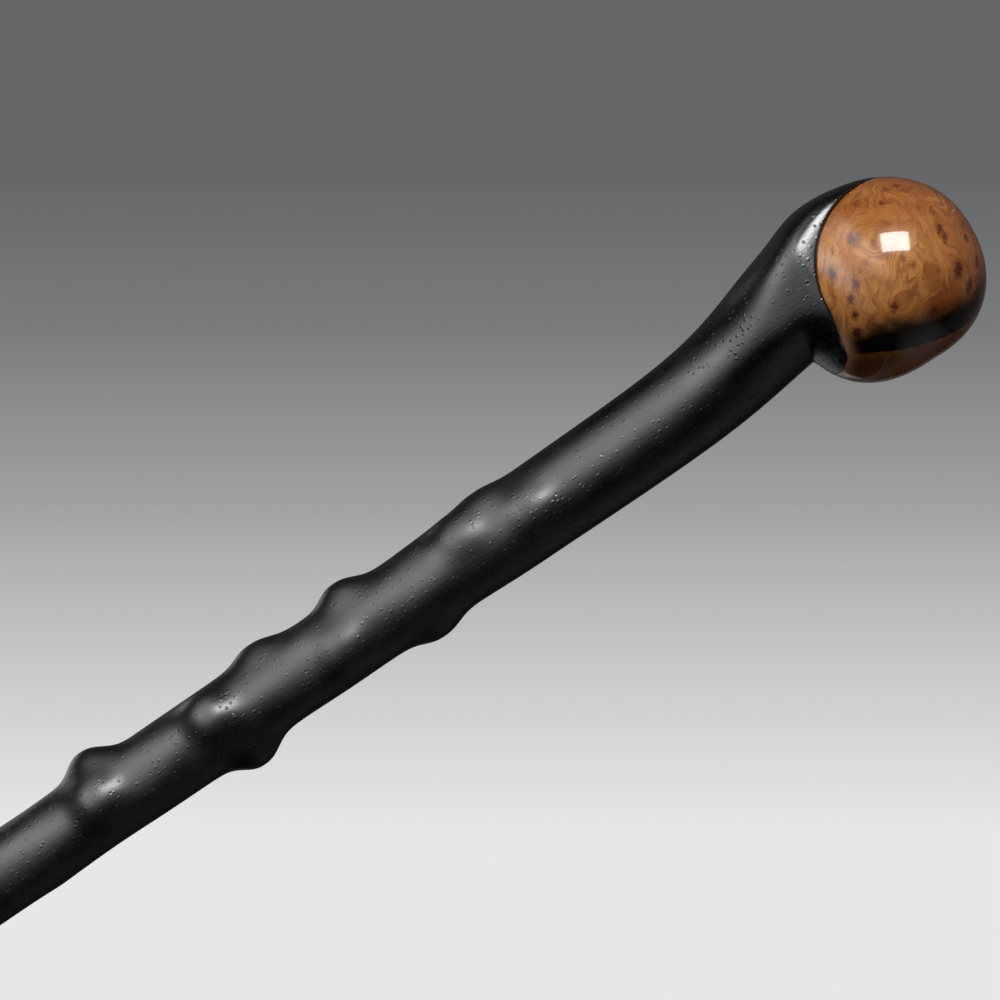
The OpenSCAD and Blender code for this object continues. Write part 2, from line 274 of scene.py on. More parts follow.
def add_piece(name, points, faces, sharp_degrees=40):
    """A mesh object from points in millimetres, smooth but for the edges that turn by more than the angle."""
    mesh = bpy.data.meshes.new(name)
    mesh.from_pydata((points * MM).tolist(), [], faces)
    mesh.validate()
    mesh.polygons.foreach_set("use_smooth", np.ones(len(mesh.polygons), bool))
    mesh.set_sharp_from_angle(angle=np.radians(sharp_degrees))
    mesh.update()
    piece = bpy.data.objects.new(name, mesh)
    bpy.context.scene.collection.objects.link(piece)
    return piece


# Level rows, closer together on the upper shaft, and then rows that crowd towards the seam
shaft_sides = 144
lower_step = 2.2
upper_step = 0.95
first_row = shoulder_height + 0.4
upper_foot = knob_height - 352.0
head_foot = knob_height - 70.0
head_rows = 110
head_crowding = 1.35
shaft_angle = np.linspace(-np.pi, np.pi, shaft_sides, endpoint=False)
shank_rows = np.concatenate([
    np.arange(first_row, upper_foot, lower_step),
    np.arange(upper_foot, head_foot, upper_step),
])
head_share = 1 - (1 - np.arange(1, head_rows + 1) / head_rows) ** head_crowding
shaft_seam = seam_height(shaft_angle, glue_line)
shaft_height = np.concatenate([
    np.repeat(shank_rows[:, None], shaft_sides, axis=1),
    head_foot + head_share[:, None] * (shaft_seam - head_foot),
])
shaft_turn = np.broadcast_to(shaft_angle, shaft_height.shape)
shaft_reach = stick_reach(shaft_height, shaft_turn) + bark_waves(shaft_height, shaft_turn)
# The edge at the seam is eased by hand, and so is the shoulder over the ferrule
seam_ease = 0.10
seam_run = 0.4
shaft_reach -= seam_ease * np.clip(1 - way_from_end(shaft_reach, shaft_height) / seam_run, 0, 1) ** 2
shoulder_ease = 0.5
shoulder_run = 2.4
shaft_reach -= shoulder_ease * np.clip(1 - (shaft_height - shoulder_height) / shoulder_run, 0, 1) ** 2

# The flanks of the neck and hood are fuller than the round form
collar = 5.5
collar_drop = 52.0
collar_fade = 9.0
flank_most = 18.6
flank_fall = 0.40
flank_turn = 0.012
flank_drop = 2.0
flank_blend = 0.7
round_power = 2.0
flank_power = 4.0
flank_power_drop = 30.0
flank_power_fade = 5.0
hood_power = 9.0
hood_power_drop = 5.0
hood_power_fade = 3.0


def flank_width(forward, height):
    """Half width of the full sides of the neck and hood, at a place seen from the side.

    The width in the middle of a flank grows up the neck, then falls away in a line, and at the top in a
    parabola. It is rounded off towards the back and the front by a power of the share of the way there.
    """
    lean_share = grown(height, knob_height - neck_drop, neck_fade)
    rising = plain_radius(height) + (neck_flare + neck_breadth) * lean_share
    rising = rising + collar * grown(height, knob_height - collar_drop, collar_fade)
    falling = flank_most - flank_fall * (height - knob_height)
    falling = falling - flank_turn * np.maximum(height - knob_height + flank_drop, 0) ** 2
    middle = -flank_blend * np.logaddexp(-rising / flank_blend, -falling / flank_blend)
    place = -neck_lean * lean_share
    way = place + stick_reach(height, np.full_like(height, np.pi))
    way_share = np.clip(np.abs(forward - place) / way, 0, 1)
    power = round_power + flank_power * grown(height, knob_height - flank_power_drop, flank_power_fade)
    power = power + hood_power * grown(height, knob_height - hood_power_drop, hood_power_fade)
    return middle * np.sqrt(1 - way_share**power)


tenon_rings = rings_at(
    np.array([tenon_radius, tenon_radius, tip_radius - 2 * shoulder_ease])[:, None],
    np.array([tenon_foot, shoulder_height, shoulder_height])[:, None] + 0 * shaft_angle,
    shaft_angle,
)
shaft_rings = np.concatenate([tenon_rings, rings_at(shaft_reach, shaft_height, shaft_turn)])
# The flanks blend into the round neck below, the chin in front and the burl at the seam
seam_blend = 0.4
flank_foot = knob_height - 90.0
flank_foot_fade = 3.0
flank_front = 2.0
flank_front_fade = 2.5
ring_forward, ring_width, ring_height = np.moveaxis(shaft_rings, -1, 0)
seam_way = np.maximum(-burl_depth(ring_forward, ring_height), 0)
flank_share = (
    (1 - np.exp(-((seam_way / seam_blend) ** 2)))
    * grown(ring_height, flank_foot, flank_foot_fade)
    * (1 - grown(ring_forward, flank_front, flank_front_fade))
)
flank_gain = flank_width(ring_forward, ring_height) - np.abs(ring_width)
shaft_rings[..., 1] += np.sign(np.sin(shaft_angle)) * flank_share * flank_gain
shaft_points = np.concatenate([shaft_rings.reshape(-1, 3), [(0, 0, tenon_foot)]])
shaft_count = len(shaft_rings)
shaft_faces = (
    ring_faces(shaft_count, shaft_sides)
    + fan_faces(0, shaft_sides, shaft_count * shaft_sides, upwards=False)
    + seat_faces((shaft_count - 1) * shaft_sides, shaft_sides, upwards=True)
)
shaft = add_piece("black_shaft", shaft_points, shaft_faces)


def set_inputs(tree, node, inputs):
    """Inputs of a shader node, by name or place, set to values or linked to other nodes' outputs."""
    for name, value in inputs.items():
        if isinstance(value, bpy.types.NodeSocket):
            tree.links.new(value, node.inputs[name])
        else:
            node.inputs[name].default_value = value


def add_node(tree, kind, inputs=None, **settings):
    """One shader node with its settings and inputs."""
    made = tree.nodes.new("ShaderNode" + kind)
    for name, value in settings.items():
        setattr(made, name, value)
    set_inputs(tree, made, inputs or {})
    return made


def sum_of(tree, first, factor, second):
    """First times factor plus second, as one Math node."""
    return add_node(tree, "Math", {0: first, 1: factor, 2: second}, operation="MULTIPLY_ADD").outputs[0]


def between(tree, value, low, high, start=0.0, end=1.0):
    """A value's place from low to high, eased, as a number from start to end."""
    inputs = {"Value": value, "From Min": low, "From Max": high, "To Min": start, "To Max": end}
    return add_node(tree, "MapRange", inputs, interpolation_type="SMOOTHSTEP").outputs["Result"]


def blended(tree, share, first, second):
    """Two colours mixed by a share. The Mix node has its colours at inputs 6 and 7 and at output 2."""
    return add_node(tree, "Mix", {0: share, 6: first, 7: second}, data_type="RGBA").outputs[2]


def millimetres(tree, stretch=(1, 1, 1)):
    """The piece's own coordinates in millimetres, drawn out along an axis where its stretch is small."""
    place = add_node(tree, "TexCoord").outputs["Object"]
    scale = tuple(part / MM for part in stretch)
    return add_node(tree, "VectorMath", {0: place, 1: scale}, operation="MULTIPLY").outputs[0]


def height_in(tree):
    """Height over the ground in millimetres, in a material."""
    return add_node(tree, "SeparateXYZ", {0: millimetres(tree)}).outputs["Z"]


def noise(tree, place, scale, detail, distortion=0.0):
    """Noise from 0 to 1 at a place."""
    inputs = {"Vector": place, "Scale": scale, "Detail": detail, "Distortion": distortion}
    return add_node(tree, "TexNoise", inputs).outputs[0]


def make_wear():
    """Shared wear: soft blotches and fine specks, two noises of set sizes in the piece's own millimetres."""
    group = bpy.data.node_groups.new("wear", "ShaderNodeTree")
    for name in ("Blotch Size", "Speck Size"):
        group.interface.new_socket(name, in_out="INPUT", socket_type="NodeSocketFloat")
    for name in ("Blotch", "Speck"):
        group.interface.new_socket(name, in_out="OUTPUT", socket_type="NodeSocketFloat")
    given = group.nodes.new("NodeGroupInput")
    put_out = group.nodes.new("NodeGroupOutput")
    place = millimetres(group)
    for name, detail in (("Blotch", 3.0), ("Speck", 1.0)):
        scale = add_node(group, "Math", {0: 1.0, 1: given.outputs[name + " Size"]}, operation="DIVIDE")
        spots = noise(group, place, scale.outputs[0], detail)
        group.links.new(between(group, spots, low=0.3, high=0.7), put_out.inputs[name])
    return group


def new_finish(name, kind="BsdfPrincipled"):
    """A new material with one shader."""
    material = bpy.data.materials.new(name)
    material.use_nodes = True
    tree = material.node_tree
    tree.nodes.clear()
    shader = add_node(tree, kind)
    add_node(tree, "OutputMaterial", {"Surface": shader.outputs[0]})
    return material, tree, shader


def worn(tree, blotch_size, speck_size):
    """The shared wear in one material, with its own sizes in millimetres."""
    sizes = {"Blotch Size": blotch_size, "Speck Size": speck_size}
    made = add_node(tree, "Group", sizes, node_tree=wear)
    return made.outputs["Blotch"], made.outputs["Speck"]


def bumped(tree, height, depth, strength=1.0, normal=None):
    """A bump of a depth in millimetres, on top of an earlier one."""
    inputs = {"Height": height, "Distance": depth * MM, "Strength": strength}
    if normal is not None:
        inputs["Normal"] = normal
    return add_node(tree, "Bump", inputs).outputs[0]


wear = make_wear()
black_stain = (0.0008, 0.0008, 0.0009, 1)
rubbed_stain = (0.0018, 0.0017, 0.0017, 1)
pimple_stain = (0.004, 0.004, 0.0039, 1)
black_wood, tree, shader = new_finish("black_wood")
blotch, speck = worn(tree, blotch_size=11.0, speck_size=0.5)
# Small raised pores lie a few millimetres apart all over the bark, with fewer sunk ones among them
pore_gap = 2.0
pit_gap = 3.4
pore = add_node(tree, "TexVoronoi", {"Vector": millimetres(tree, (1, 1, 0.8)), "Scale": 1 / pore_gap})
raised_pore = between(tree, pore.outputs["Distance"], low=0.05, high=0.28, start=1.0, end=0.0)
pit = add_node(tree, "TexVoronoi", {"Vector": millimetres(tree, (1, 1, 0.7)), "Scale": 1 / pit_gap})
sunk_pore = between(tree, pit.outputs["Distance"], low=0.04, high=0.15, start=1.0, end=0.0)
grain = noise(tree, millimetres(tree, (1, 1, 0.07)), scale=1.3, detail=3.0)
colour = blended(tree, blotch, black_stain, rubbed_stain)
colour = blended(tree, raised_pore, colour, pimple_stain)
# The bark is duller on the thorny shaft than where the hand rubs it
thorny_top = knob_height - 150.0
rubbed_foot = knob_height - 90.0
dullness = between(tree, height_in(tree), thorny_top, rubbed_foot, start=0.33, end=0.25)
relief = bumped(tree, grain, depth=0.10, strength=0.35)
relief = bumped(tree, sum_of(tree, sunk_pore, -1.0, raised_pore), depth=0.11, strength=0.8, normal=relief)
set_inputs(tree, shader, {
    "Base Color": blended(tree, sunk_pore, colour, black_stain),
    "Roughness": sum_of(tree, blotch, 0.07, sum_of(tree, speck, 0.06, dullness)),
    "Normal": relief,
    "IOR": 1.6,
})
shaft.data.materials.append(black_wood)
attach(shaft, "stick")
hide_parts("shaft")

# Burl cap
# The knob's front, top and chin: one block of burl, scribed to the black hood, glued into its hollow and
# turned flush with it. It is full of eyes with the grain swirling round them, and finished in a deep clear
# varnish.
cap_sides = 256
cap_rows = 170
cap_angle = np.linspace(-np.pi, np.pi, cap_sides, endpoint=False)
cap_seam = seam_height(cap_angle, 0.0)
seam_span = np.where(cap_seam > knob_height, knob_rise, knob_chin)
seam_tilt = np.arcsin((cap_seam - knob_height) / seam_span)
cap_tilt = seam_tilt + np.linspace(0, 1, cap_rows, endpoint=False)[:, None] * (np.pi / 2 - seam_tilt)
cap_height = knob_height + np.where(cap_tilt > 0, knob_rise, knob_chin) * np.sin(cap_tilt)
cap_turn = np.broadcast_to(cap_angle, cap_height.shape)
cap_reach = stick_reach(cap_height, cap_turn)
cap_way = way_from_end(cap_reach[::-1], cap_height[::-1])[::-1]
cap_reach = cap_reach - seam_ease * np.clip(1 - cap_way / seam_run, 0, 1) ** 2
cap_rings = rings_at(cap_reach, cap_height, cap_turn)
cap_points = np.concatenate([cap_rings.reshape(-1, 3), [(0, 0, knob_height + knob_rise)]])
cap_faces = (
    ring_faces(cap_rows, cap_sides)
    + fan_faces((cap_rows - 1) * cap_sides, cap_sides, cap_rows * cap_sides, upwards=True)
    + seat_faces(0, cap_sides, upwards=False)
)
cap = add_piece("burl_knob", cap_points, cap_faces)

# Eyes of the burl on the seen side: place forwards and up from the knob's middle, radius and depth of colour
seen_eyes = np.array([
    (-20.4, 15.5, 1.3, 0.5), (-19.6, 18.6, 1.3, 0.5), (-17.9, 11.8, 0.9, 0.6), (-21.9, 5.5, 1.6, 0.35),
    (-14.0, -1.7, 1.5, 0.6), (-12.6, -0.4, 1.1, 0.5), (-8.5, -12.4, 1.4, 0.85), (-2.3, -8.7, 1.3, 0.8),
    (0.6, -12.2, 1.2, 0.75), (5.5, -13.7, 1.1, 1.0), (9.8, -2.7, 1.5, 0.7), (17.2, 6.6, 1.6, 0.5),
    (-1.0, 7.3, 1.0, 0.4), (2.9, 9.1, 1.1, 0.35), (-1.8, 21.7, 1.5, 0.7), (1.2, 21.5, 1.2, 0.65),
    (-7.3, 23.0, 1.2, 0.4), (11.7, 19.6, 2.1, 0.95), (17.2, 19.9, 1.6, 1.0), (12.6, 25.7, 1.6, 0.8),
    (5.1, 27.1, 1.2, 0.7), (2.0, 28.1, 1.1, 0.6), (9.9, -16.2, 1.7, 0.9), (-9.0, 2.6, 1.1, 0.4),
    (-10.8, 5.4, 0.9, 0.35),
])
# Each eye is moved to the nearest point of the mesh
cap_place = cap_points - (0, 0, knob_height)
seen_place = np.where(cap_place[:, 1:2] < 0, cap_place, np.inf)[:, None, ::2]
near_eyes = cap_place[np.argmin(np.linalg.norm(seen_place - seen_eyes[:, :2], axis=-1), axis=0)]
# Eyes of the other side: an even spiral over the far half of the knob, with radii and depths in waves
far_count = 30
far_start = 0.06
far_span = 0.9
spiral_turn = 2.4
far_number = np.arange(far_count)
far_depth = far_start + far_span * (far_number + 0.5) / far_count
far_turn = far_number * spiral_turn
far_ring = np.sqrt(1 - far_depth**2)
far_spiral = knob_radius * np.stack(
    [far_ring * np.cos(far_turn), far_depth, far_ring * np.sin(far_turn)], axis=-1
)
far_eyes = cap_place[np.argmin(np.linalg.norm(cap_place[:, None] - far_spiral, axis=-1), axis=0)]
far_radius = 1.3 + 0.5 * np.sin(far_number * 1.7)
far_colour = 0.65 + 0.3 * np.sin(far_number * 2.9)
eyes = np.concatenate([near_eyes, far_eyes])
eye_radius = np.concatenate([seen_eyes[:, 2], far_radius])
eye_depth = np.concatenate([seen_eyes[:, 3], far_colour])
# An eye is longer along the grain than across it
grain_along = np.array([-0.83, 0.30, 0.56])
grain_across = np.array([0.56, 0.25, 0.83])
eye_stretch = 0.6
eye_way = cap_place[:, None] - eyes
eye_gap = np.sqrt((eye_way**2).sum(axis=-1) - eye_stretch * (eye_way @ grain_along) ** 2)
nearest_eye = np.argmin(eye_gap / eye_radius, axis=1)
eye_share = np.min(eye_gap / eye_radius, axis=1)
farthest_share = 6.0
eye_strength = 1.2


def add_values(piece, name, values):
    """A number for each point of a piece, which its material reads."""
    attribute = piece.data.attributes.new(name, "FLOAT", "POINT")
    attribute.data.foreach_set("value", values.astype(np.float32).ravel())


def bell_around(middle, size):
    """A bell curve of the distance from a place in the knob: 1 there, and about a third of it at the size."""
    return np.exp(-((np.linalg.norm(cap_place - middle, axis=-1) / size) ** 2))


# The grain number is even along each grain line: a fan from a point over the crown, two slow waves, a heap
# around each eye, and one swirl on the seen side
fan_scale = 38.0
fan_across = 2.0
fan_along = 52.0
eye_heap = 5.0
heap_size = 2.0 * eye_radius + 1.2
swirl_heap = 9.0
swirl_size = 7.5
swirl_place = (8.2, -27.5, 0.6)
across = cap_place @ grain_across
along = cap_place @ grain_along
fan = fan_scale * np.arctan2(across - fan_across, fan_along - along)
slow = 1.8 * np.sin(along / 7.5 + 0.6) + 1.2 * np.sin((across + along) / 6.0 + cap_place[:, 1] / 9.0)
heaps = eye_heap * np.exp(-((eye_gap / heap_size) ** 2)).sum(axis=1)
add_values(cap, "grain", fan + slow + heaps + swirl_heap * bell_around(swirl_place, swirl_size))
add_values(cap, "grain_way", along)
add_values(cap, "eye", np.clip(eye_share, 0, farthest_share))
add_values(cap, "eye_depth", np.clip(eye_strength * eye_depth[nearest_eye], 0, 1))

# A pale rim along the seam under the chin is a painted highlight, standing for light caught by the burl's
# rounded edge
painted_highlight_width = 2.1
painted_highlight_forward = 8.0
painted_highlight_fade = 1.5
cap_depth = burl_depth(cap_points[:, 0], cap_points[:, 2])
painted_highlight_rim = np.exp(-((cap_depth / painted_highlight_width) ** 2)) * grown(cap_points[:, 0], painted_highlight_forward, painted_highlight_fade)
add_values(cap, "painted_highlight", painted_highlight_rim)

# Painted shade: a near-black band low in the block, where the knob's core shadow falls. It is a flat sheet
# that runs thin towards the lip and dies out before the far side
painted_shade_axis = np.array([-0.628, -0.642, 0.44])
painted_shade_thinning = 7.0
painted_shade_thin_place = (8.5, -23.0, -16.0)
painted_shade_thin_size = 5.0
painted_shade_end = 7.0
painted_shade_end_fade = 1.8
seen_way = -cap_place[:, 1]
painted_shade_way = cap_place @ painted_shade_axis + painted_shade_thinning * bell_around(painted_shade_thin_place, painted_shade_thin_size)
add_values(cap, "painted_shade", painted_shade_way)
add_values(cap, "painted_shade_depth", grown(seen_way, painted_shade_end, painted_shade_end_fade))

# Painted shade: the wood is drawn redder and darker towards the crown and the front, in a patch over the dark
# band and below the band, where less light falls. The crown's redness is partly the wood's own tone
crown_axis = np.array([-0.826, 0, 0.5635])
front_axis = np.array([0.5635, 0, 0.826])
red_shade_place = (14.5, -24.5, 9.5)
red_shade_size = 8.0
most_red = 0.9
redder_painted_shade = 0.75 * grown(cap_place @ crown_axis, 14.5, 3.5)
redder_painted_shade += 0.6 * grown(cap_place @ front_axis, 19.5, 3.0)
redder_painted_shade += 0.9 * bell_around(red_shade_place, red_shade_size)
redder_painted_shade += 0.9 * grown(-painted_shade_way, 6.0, 1.0) * grown(seen_way, 2.0, 3.0)
add_values(cap, "redder_painted_shade", np.clip(redder_painted_shade, 0, most_red))

light_burl = (0.60, 0.27, 0.082, 1)
warm_burl = (0.44, 0.165, 0.040, 1)
red_burl = (0.27, 0.078, 0.020, 1)
line_burl = (0.15, 0.044, 0.012, 1)
eye_burl = (0.075, 0.020, 0.009, 1)
# Pale colour of the painted highlight along the chin's seam
painted_highlight_burl = (0.95, 0.47, 0.25, 1)
# Near-black colour of the painted shade band
painted_shade_burl = (0.005, 0.002, 0.0015, 1)
burl_wood, tree, shader = new_finish("burl_wood")
blotch, speck = worn(tree, blotch_size=8.0, speck_size=0.35)
place = millimetres(tree)
fleck = noise(tree, place, scale=1.1, detail=3.0, distortion=0.6)
patch = noise(tree, place, scale=0.11, detail=2.0, distortion=1.2)
wander = noise(tree, place, scale=0.22, detail=2.0)


def times(tree, first, second):
    """Two numbers multiplied, in a material."""
    return add_node(tree, "Math", {0: first, 1: second}, operation="MULTIPLY").outputs[0]


def carried(name):
    """Numbers that the burl's points carry, in its material."""
    return add_node(tree, "Attribute", attribute_name=name).outputs["Fac"]


def grain_streaks(width, length, wandering):
    """Streaks along the grain: noise of the grain number over a width and of the way along over a length."""
    across = times(tree, sum_of(tree, wander, wandering, carried("grain")), 1 / width)
    way = times(tree, carried("grain_way"), 1 / length)
    drawn_out = add_node(tree, "CombineXYZ", {"X": across, "Y": way}).outputs[0]
    return noise(tree, drawn_out, scale=1.0, detail=3.0)


broad_streak = between(tree, grain_streaks(width=3.6, length=13.0, wandering=7.0), low=0.36, high=0.64)
colour = blended(tree, broad_streak, warm_burl, light_burl)
colour = blended(tree, between(tree, patch, low=0.50, high=0.70, end=0.6), colour, red_burl)
# Painted shade: redder and darker where the light falls off
colour = blended(tree, carried("redder_painted_shade"), colour, red_burl)
# Finer streaks: width, length and wandering, where they start and are full, their share and their colour
fine_streaks = (
    (1.6, 12.0, 5.0, 0.54, 0.72, 0.55, light_burl),
    (1.1, 9.0, 5.0, 0.50, 0.70, 0.65, line_burl),
    (0.8, 2.6, 3.0, 0.60, 0.74, 0.70, line_burl),
)
for width, length, wandering, low, high, share, tone in fine_streaks:
    streak = between(tree, grain_streaks(width, length, wandering), low, high, end=share)
    colour = blended(tree, streak, colour, tone)
# Each eye is a dark pin knot with a ragged edge in a red-brown halo
depth = carried("eye_depth")
shaken_eye = sum_of(tree, fleck, 2.2, sum_of(tree, carried("eye"), 1.2, -1.0))
halo = between(tree, shaken_eye, low=0.8, high=2.4, start=0.8, end=0.0)
knot = between(tree, shaken_eye, low=0.5, high=1.5, start=1.0, end=0.0)
colour = blended(tree, times(tree, halo, depth), colour, red_burl)
colour = blended(tree, times(tree, knot, depth), colour, eye_burl)
# The band of painted shade has a soft upper edge and a crisp lower one
shaken_painted_shade = sum_of(tree, wander, 3.0, sum_of(tree, carried("painted_shade"), 1.0, -1.5))
under_top = between(tree, shaken_painted_shade, low=10.5, high=2.0)
over_foot = between(tree, shaken_painted_shade, low=-5.4, high=-4.2)
in_painted_shade = times(tree, times(tree, under_top, over_foot), carried("painted_shade_depth"))
colour = blended(tree, in_painted_shade, colour, painted_shade_burl)
# Painted highlight along the chin's seam
colour = blended(tree, carried("painted_highlight"), colour, painted_highlight_burl)
set_inputs(tree, shader, {
    "Base Color": colour,
    "Roughness": sum_of(tree, blotch, 0.06, 0.24),
    "Normal": bumped(tree, sum_of(tree, speck, 0.4, blotch), depth=0.012, strength=0.25),
    "Specular IOR Level": 0.12,
    "Coat Weight": 1.0,
    "Coat Roughness": 0.07,
    "Coat IOR": 1.37,
})
cap.data.materials.append(burl_wood)
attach(cap, "stick")
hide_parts("burl_cap")

# Cap stud
# A plain steel rod across the knob's joint, glued into the neck and into the burl. It is sealed in the wood.
dark_steel = (0.50, 0.51, 0.53, 1)
light_steel = (0.60, 0.61, 0.63, 1)
steel, tree, shader = new_finish("stud_steel")
blotch, speck = worn(tree, blotch_size=6.0, speck_size=0.4)
set_inputs(tree, shader, {
    "Base Color": blended(tree, blotch, dark_steel, light_steel),
    "Roughness": sum_of(tree, speck, 0.12, 0.30),
    "Metallic": 1.0,
})
cap_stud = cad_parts["cap_stud"]
cap_stud.data.materials.clear()
cap_stud.data.materials.append(steel)

# Ferrule
# A brass cup driven on to the turned end of the shaft, with a rolled rim under the black shoulder. The lathe
# has left fine lines around it, and it has dulled with handling.
sleeve_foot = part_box("tip_sleeve")[0].z / MM
sleeve_radius = 11.0
sleeve_bore = 10.2
sleeve_floor = sleeve_foot + 2.0
sleeve_ease = 0.8
bore_ease = 0.15
rim_radius = 0.6
rim_foot = shoulder_height - 2 * rim_radius
rim_room = 0.4
turned_sides = 128
turned_sharpness = 50


def eased_profile(corners, ease, steps=6, most=0.45):
    """Corners rounded off by parabolas between points a set way, but at most a share, along their sides."""
    corners = np.array(corners, float)
    before = corners[:-2] - corners[1:-1]
    after = corners[2:] - corners[1:-1]
    reach_before = np.minimum(ease, most * np.linalg.norm(before, axis=1))[:, None]
    reach_after = np.minimum(ease, most * np.linalg.norm(after, axis=1))[:, None]
    start = corners[1:-1] + before / np.linalg.norm(before, axis=1)[:, None] * reach_before
    end = corners[1:-1] + after / np.linalg.norm(after, axis=1)[:, None] * reach_after
    share = np.linspace(0, 1, steps)[:, None, None]
    curve = (1 - share) ** 2 * start + 2 * share * (1 - share) * corners[1:-1] + share**2 * end
    return curve.transpose(1, 0, 2).reshape(-1, 2)


def turned_mesh(profile, low_pole, high_pole, sides=turned_sides):
    """A profile of radius and height turned about the stick's axis and closed by a pole at each end."""
    angle = np.linspace(0, 2 * np.pi, sides, endpoint=False)
    rings = rings_at(profile[:, :1], profile[:, 1:] + 0 * angle, angle)
    points = np.concatenate([rings.reshape(-1, 3), [(0, 0, low_pole), (0, 0, high_pole)]])
    count = len(profile)
    faces = (
        ring_faces(count, sides)
        + fan_faces(0, sides, count * sides, upwards=False)
        + fan_faces((count - 1) * sides, sides, count * sides + 1, upwards=True)
    )
    return points, faces


def rolled_edge(middle, top, radius, start, points):
    """A rolled edge in a profile: an arc from a start in radians up to the top."""
    turn = np.linspace(start, np.pi / 2, points)
    return np.stack([middle + radius * np.cos(turn), top - radius + radius * np.sin(turn)], axis=-1)


rim_roll = rolled_edge(sleeve_radius, shoulder_height, rim_radius, start=-np.pi / 2, points=12)
sleeve_cup = eased_profile([
    (0, sleeve_foot), (sleeve_radius, sleeve_foot),
    (sleeve_radius, rim_foot - rim_room), (sleeve_radius, rim_foot),
], sleeve_ease)
sleeve_inside = eased_profile([
    (sleeve_radius, shoulder_height), (sleeve_bore, shoulder_height),
    (sleeve_bore, sleeve_floor), (0, sleeve_floor),
], bore_ease)
sleeve_profile = np.concatenate([sleeve_cup, rim_roll, sleeve_inside])
sleeve_mesh = turned_mesh(sleeve_profile, sleeve_foot, sleeve_floor)
sleeve = add_piece("brass_ferrule", *sleeve_mesh, sharp_degrees=turned_sharpness)


def brass_finish(name, bright, dull, line_height):
    """Brass with lathe lines around it, and tarnish in blotches."""
    material, tree, shader = new_finish(name)
    blotch, speck = worn(tree, blotch_size=5.0, speck_size=0.3)
    lathe = noise(tree, millimetres(tree, (0.02, 0.02, 1)), scale=5.0, detail=2.0)
    tarnish = sum_of(tree, blotch, 0.75, times(tree, speck, 0.2))
    set_inputs(tree, shader, {
        "Base Color": blended(tree, tarnish, bright, dull),
        "Roughness": sum_of(tree, tarnish, 0.20, 0.22),
        "Normal": bumped(tree, lathe, line_height, strength=0.5),
        "Metallic": 1.0,
    })
    return material


bright_brass = (0.66, 0.46, 0.18, 1)
dull_brass = (0.40, 0.27, 0.11, 1)
sleeve.data.materials.append(brass_finish("ferrule_brass", bright_brass, dull_brass, line_height=0.03))
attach(sleeve, "stick")
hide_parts("tip_sleeve")

# Ferrule nails
# Two small brass nails, one each side, driven through the ferrule's wall into the wood. Their domed heads
# stand on the wall.
nail_radius = 0.9
nail_head = 1.7
nail_head_rise = 0.6
nail_length = 7.0
nail_sides = 32
nail_low, nail_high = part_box("sleeve_pins")
nail_height = (nail_low.z + nail_high.z) / 2 / MM
nail_dome = np.linspace(0, np.pi / 2, 8)
nail_profile = np.concatenate([
    [(nail_radius, -nail_length), (nail_radius, 0.0), (nail_head, 0.0)],
    np.stack([nail_head * np.cos(nail_dome), nail_head_rise * np.sin(nail_dome)], axis=-1)[1:-1],
])
nail_points, nail_faces = turned_mesh(nail_profile, -nail_length, nail_head_rise, nail_sides)
# A nail made upright is laid along X, once towards each side
nail_out = np.stack([nail_points[:, 2] + sleeve_radius, nail_points[:, 0], nail_points[:, 1]], axis=-1)
nail_back = nail_out * (-1, -1, 1)
nail_pair = np.concatenate([nail_out, nail_back]) + (0, 0, nail_height)
second_faces = [[corner + len(nail_out) for corner in face] for face in nail_faces]
nails = add_piece("ferrule_nails", nail_pair, nail_faces + second_faces, sharp_degrees=turned_sharpness)
bright_nail = (0.62, 0.42, 0.16, 1)
dull_nail = (0.34, 0.22, 0.09, 1)
nails.data.materials.append(brass_finish("nail_brass", bright_nail, dull_nail, line_height=0.01))
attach(nails, "stick")
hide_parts("sleeve_pins")

# Rubber foot
# A moulded rubber foot pushed on to the ferrule: a flared base with a grooved tread, a tapering body and a
# bead around the mouth. It pulls off downwards when it is worn.
foot_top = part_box("rubber_foot")[1].z / MM
foot_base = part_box("rubber_foot")[1].x / MM
foot_base_height = 6.0
foot_base_ease = 1.0
foot_waist = 15.0
foot_waist_height = 14.0
foot_mouth = 14.0
foot_bore = 11.05
foot_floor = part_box("foot_washer")[0].z / MM
foot_ease = 0.5
mouth_ease = 0.25
mouth_bead = 1.4
groove_radii = (7.0, 12.0)
groove_half = 1.0
groove_depth = 1.5
groove_profile = (
    (-groove_half, 0.0), (-groove_half, groove_depth), (groove_half, groove_depth), (groove_half, 0.0)
)
tread = [(radius + side, height) for radius in groove_radii for side, height in groove_profile]
# The body's taper ends just under the bead
under_bead = [(foot_mouth + 0.55, foot_top - 2.9), (foot_mouth + 0.6, foot_top - 2.7)]
bead = rolled_edge(foot_mouth, foot_top, mouth_bead, start=-1.15, points=14)
foot_outside = eased_profile([
    (0, 0), *tread, (foot_base - foot_base_ease, 0), (foot_base, foot_base_ease),
    (foot_base, foot_base_height), (foot_waist, foot_waist_height), *under_bead,
], foot_ease)
foot_inside = eased_profile([
    (foot_mouth, foot_top), (foot_bore, foot_top), (foot_bore, foot_floor), (0, foot_floor)
], mouth_ease)
foot_profile = np.concatenate([foot_outside, bead, foot_inside])
foot_mesh = turned_mesh(foot_profile, 0.0, foot_floor)
foot = add_piece("rubber_foot_tip", *foot_mesh, sharp_degrees=turned_sharpness)
dark_rubber = (0.018, 0.018, 0.018, 1)
pale_rubber = (0.030, 0.030, 0.029, 1)
floor_dust = (0.12, 0.11, 0.10, 1)
dust_height = 9.0
dust_share = 0.6
rubber, tree, shader = new_finish("foot_rubber")
blotch, speck = worn(tree, blotch_size=9.0, speck_size=0.35)
mould = noise(tree, millimetres(tree), scale=2.6, detail=2.0)
